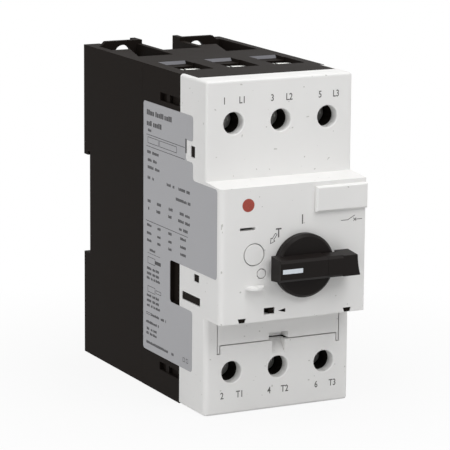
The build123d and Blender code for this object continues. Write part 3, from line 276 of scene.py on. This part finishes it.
# edge radii in millimetres, one for each moulded or machined piece that shows
edgeRadius = {
    "front_cover": 0.22, "middle_housing": 0.20, "rear_base": 0.25, "accessory_flap": 0.15,
    "marker_plate": 0.15, "dial_cover": 0.12, "calibration_plug": 0.08, "rail_latch": 0.2,
    "knob": 0.3, "padlock_slide": 0.3, "test_slider": 0.08, "housing_bolts": 0.15,
}
for side in ("line", "load"):
    for number in (1, 2, 3):
        edgeRadius["%s_screw_%d" % (side, number)] = 0.12
        edgeRadius["%s_clamp_%d" % (side, number)] = 0.15
for node, radius in edgeRadius.items():
    softened(node, radius * mm)
print("softened pieces:", len(edgeRadius))


inkDepth = 0.02 * mm
lettering = {"curveSteps": 3, "weight": 0.013, "narrowing": 0.8}
# shares of the letter height that make a printed word on the label
wordBlocks = {"shortest": 0.45, "longest": 0.8, "space": 0.17, "tops": (1, 1, 0.8), "end": 0.2}


def addBar(bm, lowCorner, highCorner):
    # a thin box between two corners
    a, b = Vector(lowCorner), Vector(highCorner)
    place = Matrix.Translation((a + b) / 2) @ Matrix.Diagonal((*(b - a), 1))
    bmesh.ops.create_cube(bm, size=1, matrix=place)


def addPlate(bm, corners, push):
    # a flat shape drawn as one face, then pushed out to its thickness
    face = bm.faces.new([bm.verts.new(corner) for corner in corners])
    grown = bmesh.ops.extrude_face_region(bm, geom=[face])
    bmesh.ops.translate(bm, vec=push,
                        verts=[v for v in grown["geom"] if isinstance(v, bmesh.types.BMVert)])


def addStroke(bm, start, end, width, face):
    # a straight printed line on the block face, from one (x, z) to another in millimetres
    a, b = Vector((start[0], 0, start[1])), Vector((end[0], 0, end[1]))
    lean = math.atan2(b.z - a.z, b.x - a.x)
    centre = (a + b) / 2 * mm
    place = (Matrix.Translation((centre.x, face - inkDepth / 2, centre.z)) @ Matrix.Rotation(-lean, 4, "Y")
             @ Matrix.Diagonal(((b - a).length * mm, inkDepth, width * mm, 1)))
    bmesh.ops.create_cube(bm, size=1, matrix=place)


def addOutline(bm, points, width, face):
    for start, end in zip(points, points[1:] + points[:1]):
        addStroke(bm, start, end, width, face)


def addText(bm, text, height, x, z, face):
    # letters of this height, standing on the front, centred on x and z
    curve = bpy.data.curves.new("letters", "FONT")
    curve.body = text
    curve.resolution_u = lettering["curveSteps"]
    curve.extrude = 0.5                     # one unit deep, brought to the ink's depth below
    curve.offset = lettering["weight"]
    holder = bpy.data.objects.new("letters", curve)
    scene.collection.objects.link(holder)
    bpy.context.view_layer.update()
    mesh = bpy.data.meshes.new_from_object(holder)
    bpy.data.objects.remove(holder)
    xs, ys = ([v.co[i] for v in mesh.vertices] for i in (0, 1))
    size = height * mm / (max(ys) - min(ys))
    mesh.transform(Matrix.Translation((-(max(xs) + min(xs)) / 2, -(max(ys) + min(ys)) / 2, 0)))
    mesh.transform(Matrix.Diagonal((size * lettering["narrowing"], size, inkDepth, 1)))
    mesh.transform(Matrix.Rotation(math.radians(90), 4, "X"))
    mesh.transform(Matrix.Translation((x * mm, face - inkDepth / 2, z * mm)))
    bm.from_mesh(mesh)
    bpy.data.meshes.remove(mesh)


def addWords(bm, nearDepth, farDepth, z, height, face):
    # a row of small blocks that reads as a printed word, along the depth of the side
    at = nearDepth
    while at < farDepth - wordBlocks["end"]:
        share = random.uniform(wordBlocks["shortest"], wordBlocks["longest"])
        width = min(share * height, farDepth - at)
        tall = height * random.choice(wordBlocks["tops"])
        addBar(bm, (face, terminalFace + at * mm, (z - height / 2) * mm),
               (face + inkDepth, terminalFace + (at + width) * mm, (z - height / 2 + tall) * mm))
        at += width + wordBlocks["space"] * height


# numbers beside the terminal screws: wire number, then conductor
terminalMarks = {"height": 2.3, "topLevel": 105.5, "lowLevel": 6.5,
                 "top": ((-20.4, "1"), (-14.0, "L1"), (-2.8, "3"), (3.5, "L2"), (15.0, "5"), (21.0, "L3")),
                 "low": ((-20.5, "2"), (-14.1, "T1"), (-2.85, "4"), (3.05, "T2"), (15.1, "6"), (21.3, "T3"))}
bm = bmesh.new()
for row in ("top", "low"):
    for x, text in terminalMarks[row]:
        addText(bm, text, terminalMarks["height"], x, terminalMarks[row + "Level"], terminalFace)
terminalNumbers = addObject("terminalNumbers", bm, ink)
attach(terminalNumbers, "housing")

# signs on the operating block: on, test position with its arrow, test direction, contact symbol
blockMarks = {"onBar": ((3.2, 64.8), (3.2, 68.0)), "stroke": 0.42, "thin": 0.22,
              "testLetter": (-5.6, 62.6, 3.1),
              "arrow": [(-8.6, 59.2), (-8.4, 61.1), (-8.0, 60.7), (-6.8, 62.5), (-6.2, 62.1), (-7.4, 60.3),
                        (-6.9, 59.9)],
              "pointer": ((-5.5, 36.4), (-2.8, 37.05), (-2.8, 35.75)),
              "contactLine": ((17.7, 64.7), (20.2, 64.7)), "contactArm": ((20.2, 64.7), (22.9, 66.1)),
              "contactEnd": ((22.9, 64.7), (25.7, 64.7)), "cross": 0.5}
bm = bmesh.new()
stroke, thin = blockMarks["stroke"], blockMarks["thin"]
addStroke(bm, *blockMarks["onBar"], stroke, blockFace)
letterX, letterZ, letterHeight = blockMarks["testLetter"]
addText(bm, "T", letterHeight, letterX, letterZ, blockFace)
addOutline(bm, blockMarks["arrow"], thin, blockFace)
for part in ("contactLine", "contactArm", "contactEnd"):
    addStroke(bm, *blockMarks[part], thin, blockFace)
crossX, crossZ = blockMarks["contactEnd"][0]
cross = blockMarks["cross"]
for rise in (cross, -cross):
    addStroke(bm, (crossX - cross, crossZ - rise), (crossX + cross, crossZ + rise), thin, blockFace)
pointer = [bm.verts.new((x * mm, blockFace - inkDepth, z * mm)) for x, z in blockMarks["pointer"]]
face = bm.faces.new(pointer)
bmesh.ops.solidify(bm, geom=[face], thickness=inkDepth)
bmesh.ops.recalc_face_normals(bm, faces=bm.faces)
blockSigns = addObject("blockSigns", bm, ink)
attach(blockSigns, "housing")

# round tag above the dial
tagDisc = {"x": -16.8, "z": 72.6, "radius": 2.2, "segments": 48}
bm = bmesh.new()
tagPlace = Matrix.Translation((tagDisc["x"] * mm, blockFace - inkDepth / 2, tagDisc["z"] * mm))
bmesh.ops.create_cone(bm, cap_ends=True, segments=tagDisc["segments"], radius1=tagDisc["radius"] * mm,
                      radius2=tagDisc["radius"] * mm, depth=inkDepth,
                      matrix=tagPlace @ Matrix.Rotation(math.radians(90), 4, "X"))
roundTag = addObject("roundTag", bm, redTag)
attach(roundTag, "housing")
print("front marks ready")

# the label: its outer face a hair inside the frame, so that the print stays within it
labelShape = {"inset": 0.03, "cornerRadius": 1.2, "cornerSteps": 5, "hairline": 0.18}
labelSkin = labelFace + labelShape["inset"] * mm
printFace = labelSkin - inkDepth
bm = cadCopy("side_label")
for vert in bm.verts:
    if vert.co.x < labelSkin:
        vert.co.x = labelSkin
corners = [e for e in bm.edges if abs(e.verts[0].co.y - e.verts[1].co.y) < 1e-6
           and abs(e.verts[0].co.z - e.verts[1].co.z) < 1e-6]
bmesh.ops.bevel(bm, geom=corners, offset=labelShape["cornerRadius"] * mm, offset_type="OFFSET",
                segments=labelShape["cornerSteps"], profile=0.5, affect="EDGES", clamp_overlap=True,
                material=-1)
labelSheet = addObject("side_label_finished", bm, finishes["label_foil"])
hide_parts("side_label")
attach(labelSheet, "housing")

# print rows of the label: height of the row, size of its letters, spans in depth; meaningless dashes
labelRows = (
    (95.9, 1.8, ((25.5, 31.0), (31.8, 38.4), (39.2, 44.8))), (92.2, 1.8, ((33.3, 40), (41, 44.8))),
    (89.8, 0.9, ((41.3, 44),)), (82.3, 1, ((35.5, 40.7), (41.7, 44.5))), (79.6, 1, ((37, 40), (41, 44))),
    (77.1, 1, ((34.8, 38.3), (39.5, 44))),
    (73.5, 1, ((11.5, 14), (15, 20), (23.2, 24.5), (26, 29), (39.2, 40.3), (42, 44.2))),
    (69.8, 1, ((11, 13), (13.8, 22))),
    (65.4, 1, ((11.5, 15), (16, 19), (24.5, 27.5), (33.5, 36.7), (41.7, 44))),
    (62.8, 1, ((11.4, 15), (16, 20.5), (25.3, 27.7), (34, 37), (42.8, 43.8))),
    (60.1, 1, ((13, 16.5), (17.5, 19.5))),
    (57.0, 0.9, ((14.3, 18.5), (25.2, 27.7), (33.8, 36.3), (41, 44.7))),
    (54.2, 0.9, ((14.3, 18.5), (25.2, 27.7), (33.8, 36.3), (41, 44.7))),
    (51.7, 0.9, ((14.3, 18.5), (25.2, 27.7), (33.8, 36.3), (41, 44.7))), (48.5, 0.9, ((38, 42.5),)),
    (41.9, 0.9, ((35, 37.5), (38, 40), (41, 44.5))), (40.1, 0.9, ((35, 37.5), (38, 40), (41, 44.5))),
    (38.5, 0.9, ((34.2, 37.5), (38, 39.2), (40, 41.3), (42.3, 44.6))),
    (32.4, 0.9, ((35, 37.5), (38, 40), (41, 44.5))), (30.6, 0.9, ((35, 37.5), (38, 40), (41, 44.5))),
    (28.9, 0.9, ((34.2, 37.5), (38, 39.2), (40, 41.3), (42.3, 44.6))),
    (26.0, 0.9, ((34.8, 41), (29.3, 30), (31, 33.4))),
    (23.0, 0.9, ((35, 35.8), (36.5, 45))), (20.6, 0.9, ((36.7, 39.2), (40, 41.3), (42.6, 44.7))),
    (19.0, 0.9, ((36.7, 39.5), (40, 42), (43, 44.8))), (15.8, 0.9, ((27.7, 45), (23.3, 25))))
# ruled lines and solid bars: depth span, height span
labelRules = (((15.5, 45), (88.1, 88.3)), ((15.5, 45), (84.1, 84.3)), ((12.8, 45.3), (58.3, 58.5)),
              ((34.2, 44), (47.2, 47.35)), ((14.2, 15.0), (86.5, 91.3)), ((33.5, 38), (44.2, 45.4)),
              ((41, 45), (26.2, 26.4)), ((41, 45), (25.6, 25.8)))
# outlined boxes: depth span, height span
labelFrames = (((21.5, 34.8), (85.3, 87.5)), ((35.5, 44), (85.3, 87.5)), ((38, 43.8), (43.6, 46)),
               ((38, 43.8), (33.6, 35.8)), ((33.3, 37.4), (34.1, 35.3)), ((12.2, 13.7), (15.3, 16.8)),
               ((14.7, 16.2), (15.3, 16.8)))
bm = bmesh.new()


def ruleOff(depthSpan, heightSpan):
    addBar(bm, (printFace, terminalFace + depthSpan[0] * mm, heightSpan[0] * mm),
           (labelSkin, terminalFace + depthSpan[1] * mm, heightSpan[1] * mm))


for z, height, spans in labelRows:
    for near, far in spans:
        addWords(bm, near, far, z, height, printFace)
for depthSpan, heightSpan in labelRules:
    ruleOff(depthSpan, heightSpan)
hair = labelShape["hairline"]
for (near, far), (bottom, top) in labelFrames:
    for spans in (((near, far), (bottom, bottom + hair)), ((near, far), (top - hair, top)),
                  ((near, near + hair), (bottom, top)), ((far - hair, far), (bottom, top))):
        ruleOff(*spans)
labelPrint = addObject("labelPrint", bm, labelInk)
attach(labelPrint, "housing")
print("label ready")

# painted reflection: thin grey sheets lying on the slope of the housing behind the wire mouths, standing in
# for the overhead light's sheen on the black plastic
ledgeSheen = {"halfWidth": 5.15, "front": 46.0, "back": 46.86, "deep": 1.1, "shallow": 0.05, "thick": 0.03}
bm = bmesh.new()
for x in poleX:
    for level, way in ((topLevel, -1), (coverLow.z, 1)):
        corners = [(x + side * ledgeSheen["halfWidth"] * mm, terminalFace + ledgeSheen[depth] * mm,
                    level + way * ledgeSheen[drop] * mm)
                   for side, depth, drop in ((-1, "front", "deep"), (1, "front", "deep"),
                                             (1, "back", "shallow"), (-1, "back", "shallow"))]
        outward = Vector((0, ledgeSheen["shallow"] - ledgeSheen["deep"],
                          way * (ledgeSheen["front"] - ledgeSheen["back"]))).normalized()
        addPlate(bm, corners, outward * ledgeSheen["thick"] * mm)
bmesh.ops.recalc_face_normals(bm, faces=bm.faces)
ledgeSheens = addObject("ledgeSheens", bm, ledgeSheenGrey)
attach(ledgeSheens, "housing")

# painted shade: black pieces shaped as catch hooks that stand in for the shade in the two notches under the
# operating block
notchShadeHook = {"x": (-18.8, 20.5), "halfTop": 1.45, "halfLow": 0.95, "bottom": 33.45, "top": 34.85,
             "setBack": 0.25, "length": 4.6, "edge": 0.08}
bm = bmesh.new()
notchShadeFace = blockFace + notchShadeHook["setBack"] * mm
for x in notchShadeHook["x"]:
    outline = ((-notchShadeHook["halfLow"], notchShadeHook["bottom"]), (notchShadeHook["halfLow"], notchShadeHook["bottom"]),
               (notchShadeHook["halfTop"], notchShadeHook["top"]), (-notchShadeHook["halfTop"], notchShadeHook["top"]))
    addPlate(bm, [((x + across) * mm, notchShadeFace, height * mm) for across, height in outline],
             (0, notchShadeHook["length"] * mm, 0))
bmesh.ops.recalc_face_normals(bm, faces=bm.faces)
softenEdges(bm, notchShadeHook["edge"] * mm)
notchShadeHooks = addObject("notchShadeHooks", bm, finishes["housing_plastic"])
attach(notchShadeHooks, "housing")


coilSteps = {"turn": 20, "wire": 8}          # divisions round one turn and round the wire


def coilSpring(bm, start, axis, length, radius, wire, turns):
    # round wire wound into a helix along an axis, both ends closed
    axis = Vector(axis).normalized()
    across = axis.orthogonal().normalized()
    steps = turns * coilSteps["turn"]
    centre = Vector(start) + across * (radius - wire) + axis * wire
    facing = Matrix((across, axis, across.cross(axis))).transposed().to_4x4()
    made = bmesh.ops.create_circle(bm, segments=coilSteps["wire"], radius=wire, cap_ends=False,
                                   matrix=Matrix.Translation(centre) @ facing)
    ring = made["verts"]
    edges = [e for e in bm.edges if all(v in ring for v in e.verts)]
    bmesh.ops.contextual_create(bm, geom=edges)
    last = bmesh.ops.spin(bm, geom=ring + edges, cent=start, axis=axis,
                          dvec=axis * (length - 2 * wire) / steps, angle=2 * math.pi * turns,
                          steps=steps, use_merge=False)["geom_last"]
    bmesh.ops.contextual_create(bm, geom=[e for e in last if isinstance(e, bmesh.types.BMEdge)])
    bmesh.ops.recalc_face_normals(bm, faces=bm.faces)


# wound springs in place of the sleeves; "at" gives the coils of a node that holds several
springCoils = {
    "contact_springs": {"axis": "y", "radius": 2.2, "wire": 0.28, "turns": 6, "at": poleX},
    "opening_springs": {"axis": "y", "radius": 2.0, "wire": 0.25, "turns": 6,
                        "at": [(poleX[0] + poleX[1]) / 2, (poleX[1] + poleX[2]) / 2]},
    "test_spring": {"axis": "x", "radius": 1.2, "wire": 0.17, "turns": 6},
    "latch_spring": {"axis": "z", "radius": 1.2, "wire": 0.17, "turns": 8},
}
for number in (1, 2, 3):
    springCoils["plunger_spring_%d" % number] = {"axis": "y", "radius": 1.85, "wire": 0.2, "turns": 4}
for node, coil in springCoils.items():
    boxLow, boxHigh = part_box(node)
    centre = (boxLow + boxHigh) / 2
    way = "xyz".index(coil["axis"])
    bm = bmesh.new()
    for x in coil.get("at", [centre.x]):
        start = Vector((x, centre.y, centre.z))
        start[way] = boxLow[way]
        coilSpring(bm, start, [float(i == way) for i in range(3)], boxHigh[way] - boxLow[way],
                   coil["radius"] * mm, coil["wire"] * mm, coil["turns"])
    wound = addObject(node + "_wound", bm, finishes[slotOf[node]], angle=60)
    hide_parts(node)
    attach(wound, bodyOf[node])
print("wound springs:", len(springCoils))

cameraSet = {"azimuth": -26.958, "elevation": 11.665, "roll": 0.454, "lens": 210.236,
             "place": (-401.99, -790.565, 238.43), "sensor": 36, "reach": 20}


def makeCamera():
    azimuth, elevation, roll = (math.radians(cameraSet[k]) for k in ("azimuth", "elevation", "roll"))
    back = Vector((math.sin(azimuth) * math.cos(elevation), -math.cos(azimuth) * math.cos(elevation),
                   math.sin(elevation)))
    right = (-back).cross(Vector((0, 0, 1))).normalized()
    up = right.cross(-back)
    turnedRight = math.cos(roll) * right + math.sin(roll) * up
    turnedUp = -math.sin(roll) * right + math.cos(roll) * up
    data = bpy.data.cameras.new("camera")
    data.lens = cameraSet["lens"]
    data.sensor_width = cameraSet["sensor"]
    data.clip_end = cameraSet["reach"]
    camera = bpy.data.objects.new("camera", data)
    axes = Matrix((turnedRight, turnedUp, back)).transposed()
    camera.matrix_world = Matrix.Translation(Vector(cameraSet["place"]) * mm) @ axes.to_4x4()
    scene.collection.objects.link(camera)
    scene.camera = camera


def whiteRays(nodes, links):
    # 1 for rays from the camera and from mirror-like or clear surfaces, 0 for the rest
    seen = nodes.new("ShaderNodeLightPath")
    level = seen.outputs["Is Camera Ray"]
    for ray in ("Is Glossy Ray", "Is Transmission Ray"):
        either = nodes.new("ShaderNodeMath")
        either.operation = "MAXIMUM"
        links.new(level, either.inputs[0])
        links.new(seen.outputs[ray], either.inputs[1])
        level = either.outputs["Value"]
    return level


# the floor is a pale grey to the object and nearly white to the camera, so that it keeps its shadow;
# the white grows from its share near the object to all of it, between two distances
floorSet = {"halfSize": 3.0, "drop": 0.0002, "grey": (0.58, 0.58, 0.58, 1), "roughness": 0.9,
            "nearShare": 0.9, "nearEnd": 0.05, "farStart": 0.16}


def whiteGround():
    mat = bpy.data.materials.new("paleFloor")
    mat.use_nodes = True
    nodes, links = mat.node_tree.nodes, mat.node_tree.links
    shader = nodes["Principled BSDF"]
    shader.inputs["Base Color"].default_value = floorSet["grey"]
    shader.inputs["Roughness"].default_value = floorSet["roughness"]
    white = nodes.new("ShaderNodeEmission")
    white.inputs["Strength"].default_value = 1.0
    place = nodes.new("ShaderNodeTexCoord")
    away = nodes.new("ShaderNodeVectorMath")
    away.operation = "LENGTH"
    links.new(place.outputs["Object"], away.inputs[0])
    share = nodes.new("ShaderNodeMapRange")
    share.inputs["From Min"].default_value = floorSet["nearEnd"]
    share.inputs["From Max"].default_value = floorSet["farStart"]
    share.inputs["To Min"].default_value = floorSet["nearShare"]
    share.inputs["To Max"].default_value = 1.0
    links.new(away.outputs["Value"], share.inputs["Value"])
    amount = nodes.new("ShaderNodeMath")
    amount.operation = "MULTIPLY"
    links.new(whiteRays(nodes, links), amount.inputs[0])
    links.new(share.outputs["Result"], amount.inputs[1])
    mix = nodes.new("ShaderNodeMixShader")
    links.new(amount.outputs["Value"], mix.inputs["Fac"])
    links.new(shader.outputs["BSDF"], mix.inputs[1])
    links.new(white.outputs["Emission"], mix.inputs[2])
    links.new(mix.outputs["Shader"], nodes["Material Output"].inputs["Surface"])
    return mat


def makeFloor():
    bm = bmesh.new()
    bmesh.ops.create_grid(bm, x_segments=2, y_segments=2, size=floorSet["halfSize"])
    floor = addObject("floor", bm, whiteGround())
    floor.location.z = -floorSet["drop"]


# soft boxes in metres and watts, and how bright the white world is as a lamp
lampSet = {
    "topBox": {"place": (-0.05, -0.15, 0.95), "size": (0.7, 0.7), "power": 4.0},
    "frontBox": {"place": (0.15, -0.55, 0.6), "size": (0.5, 0.4), "power": 2.15},
    "leftBox": {"place": (-1.0, -0.35, 0.35), "size": (0.6, 0.9), "power": 4.2},
    "backBox": {"place": (0.85, 0.95, 0.05), "size": (0.6, 0.25), "power": 3.2},
}
lampTarget = (0, 0, 0.056)
worldLevel = 0.34


def softBox(name, place, size, power):
    data = bpy.data.lights.new(name, "AREA")
    data.shape = "RECTANGLE"
    data.size, data.size_y = size
    data.energy = power
    lamp = bpy.data.objects.new(name, data)
    lamp.location = place
    lamp.rotation_euler = (Vector(place) - Vector(lampTarget)).to_track_quat("Z", "Y").to_euler()
    scene.collection.objects.link(lamp)


def makeLight():
    world = bpy.data.worlds.new("studio")
    world.use_nodes = True
    nodes, links = world.node_tree.nodes, world.node_tree.links
    background = nodes["Background"]
    background.inputs["Color"].default_value = (1, 1, 1, 1)
    level = nodes.new("ShaderNodeMapRange")
    level.inputs["To Min"].default_value = worldLevel
    level.inputs["To Max"].default_value = 1.0
    links.new(whiteRays(nodes, links), level.inputs["Value"])
    links.new(level.outputs["Result"], background.inputs["Strength"])
    scene.world = world
    for name, lamp in lampSet.items():
        softBox(name, lamp["place"], lamp["size"], lamp["power"])


makeCamera()
makeFloor()
makeLight()
scene.view_settings.view_transform = "Standard"
print("camera, floor and lights ready")
